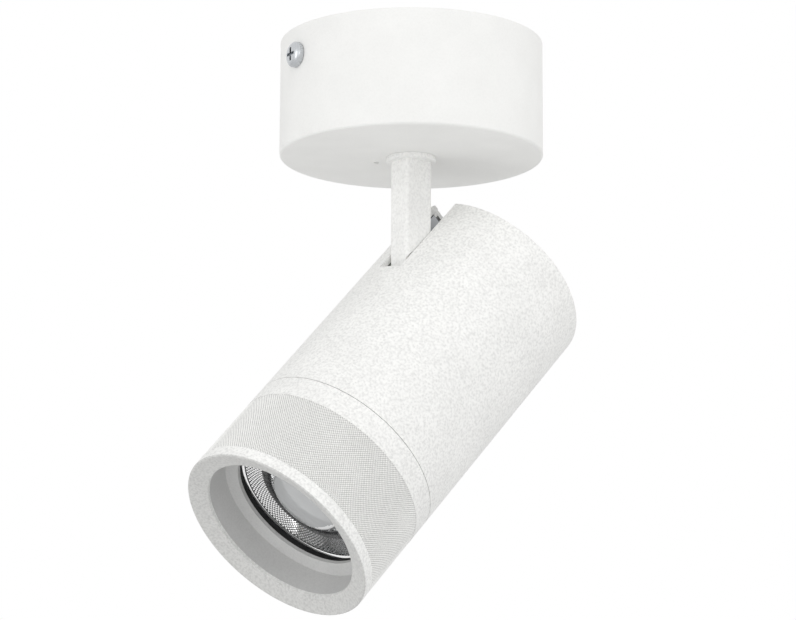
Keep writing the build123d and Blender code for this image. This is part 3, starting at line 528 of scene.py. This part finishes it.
def make_lens():
    """The clear collimator. Its dish is covered with small raised pyramids."""
    rings, (dome_top, pocket_top) = lens_rings()
    shape = bmesh.new()
    lines = []
    for line, (radius, height, facet, _) in enumerate(rings):
        points = []
        for column in range(lens_columns):
            angle = 2 * pi * column / lens_columns
            r, z = radius, height
            if facet and (line + column) % 2:
                r, z = r + facet.x, z + facet.y
            points.append(shape.verts.new((r * cos(angle), r * sin(angle), z)))
        lines.append(points)
    first = shape.verts.new((0, 0, dome_top))
    last = shape.verts.new((0, 0, pocket_top))

    def add_face(points, finish, smooth=True):
        face = shape.faces.new(points)
        # Dome faces low enough get the painted highlight
        low = finish == slot_dome and face.calc_center_median().y < -lens_highlight_from
        face.material_index = slot_painted_highlight if low else finish
        face.smooth = smooth

    for column in range(lens_columns):
        beside = (column + 1) % lens_columns
        add_face((first, lines[0][column], lines[0][beside]), slot_dome)
        add_face((last, lines[-1][beside], lines[-1][column]), slot_body)
        for line in range(len(lines) - 1):
            a, b = lines[line][column], lines[line][beside]
            c, d = lines[line + 1][beside], lines[line + 1][column]
            finish = rings[line + 1][3]
            if finish != slot_facets:
                add_face((a, d, c, b), finish, finish != slot_mirror)
            elif (line + column) % 2:
                add_face((a, d, b), slot_facets, False)
                add_face((b, d, c), slot_mirror, False)
            else:
                add_face((a, d, c), slot_facets, False)
                add_face((a, c, b), slot_facets, False)
    bmesh.ops.recalc_face_normals(shape, faces=shape.faces)
    mesh = bpy.data.meshes.new("lens_moulding")
    shape.to_mesh(mesh)
    shape.free()
    mesh.transform(head_place)
    for finish in (finishes["clear_acrylic"], facet_acrylic, pale_dome_painted_light, mirror_finish,
                   highlight_wedge_acrylic):
        mesh.materials.append(finish)
    lens = bpy.data.objects.new("lens_moulding", mesh)
    bpy.context.scene.collection.objects.link(lens)
    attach(lens, "lens")
    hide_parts("lens")


make_lens()


def make_floor():
    """A pale floor far below the light. The eye sees it whiter than the light does."""
    half = floor_size / 2
    mesh = bpy.data.meshes.new("floor")
    corners = [(-half, -half, floor_height), (half, -half, floor_height),
               (half, half, floor_height), (-half, half, floor_height)]
    mesh.from_pydata(corners, [], [(0, 1, 2, 3)])
    material, tree, shader, _ = new_material("floor_paint")
    set_inputs(tree, shader, {
        "Base Color": between(tree, seen_directly(tree), linear("F8F8F8"), linear("FFFFFF")),
        "Roughness": 0.9})
    mesh.materials.append(material)
    floor = bpy.data.objects.new("floor", mesh)
    bpy.context.scene.collection.objects.link(floor)


def seen_directly(tree):
    """1 for rays from the eye, straight or by way of gloss and glass, and 0 for the rest."""
    path = tree.nodes.new("ShaderNodeLightPath").outputs
    first = add_node(tree, "ShaderNodeMath", {"operation": "MAXIMUM"},
                     {0: path["Is Camera Ray"], 1: path["Is Glossy Ray"]})
    return add_node(tree, "ShaderNodeMath", {"operation": "MAXIMUM"},
                    {0: first.outputs[0], 1: path["Is Transmission Ray"]}).outputs[0]


def make_world():
    """Soft light all round, stronger from the eye's side, and plain white where the eye sees
    past the object."""
    world = bpy.data.worlds.new("studio")
    world.use_nodes = True
    tree = world.node_tree
    tree.nodes.clear()
    direction = add_node(tree, "ShaderNodeTexCoord").outputs["Generated"]
    toward_eye = vector_math(tree, "DOT_PRODUCT", direction, camera_place.normalized())["Value"]
    light = add_node(tree, "ShaderNodeBackground", {}, {
        "Color": linear("FFFFFF"),
        "Strength": levels(tree, toward_eye, -1.0, 1.0,
                           room_level * (1 - room_lean), room_level * (1 + room_lean))})
    white = add_node(tree, "ShaderNodeBackground", {},
                     {"Color": linear("FFFFFF"), "Strength": 1.0})
    mix = add_node(tree, "ShaderNodeMixShader", {}, {
        0: seen_directly(tree), 1: light.outputs[0], 2: white.outputs[0]})
    add_node(tree, "ShaderNodeOutputWorld", {}, {"Surface": mix.outputs[0]})
    bpy.context.scene.world = world


def make_softbox(name, place, target, watts):
    """A square soft light aimed at a point."""
    lamp = bpy.data.lights.new(name, "AREA")
    lamp.size = softbox_size
    lamp.energy = watts
    holder = bpy.data.objects.new(name, lamp)
    holder.location = place
    holder.rotation_euler = (target - place).to_track_quat("-Z", "Y").to_euler()
    bpy.context.scene.collection.objects.link(holder)


def make_camera():
    """The photograph's view, from below and in front of the head."""
    camera = bpy.data.cameras.new("camera")
    camera.sensor_fit = "HORIZONTAL"
    camera.sensor_width = sensor_width_mm
    camera.lens = focal_length_mm
    camera.clip_start = 10 * mm
    camera.clip_end = 20.0
    holder = bpy.data.objects.new("camera", camera)
    holder.matrix_world = (Matrix.Translation(camera_place)
                           @ Matrix.Rotation(camera_heading, 4, "Z")
                           @ Matrix.Rotation(pi / 2 + camera_pitch, 4, "X")
                           @ Matrix.Rotation(camera_roll, 4, "Z"))
    bpy.context.scene.collection.objects.link(holder)
    bpy.context.scene.camera = holder


make_floor()
make_world()
middle = (cad_box[0] + cad_box[1]) / 2
for label, (spot, watts) in softboxes.items():
    make_softbox(label, Vector(spot), middle, watts)
make_camera()
bpy.context.scene.view_settings.view_transform = "Standard"
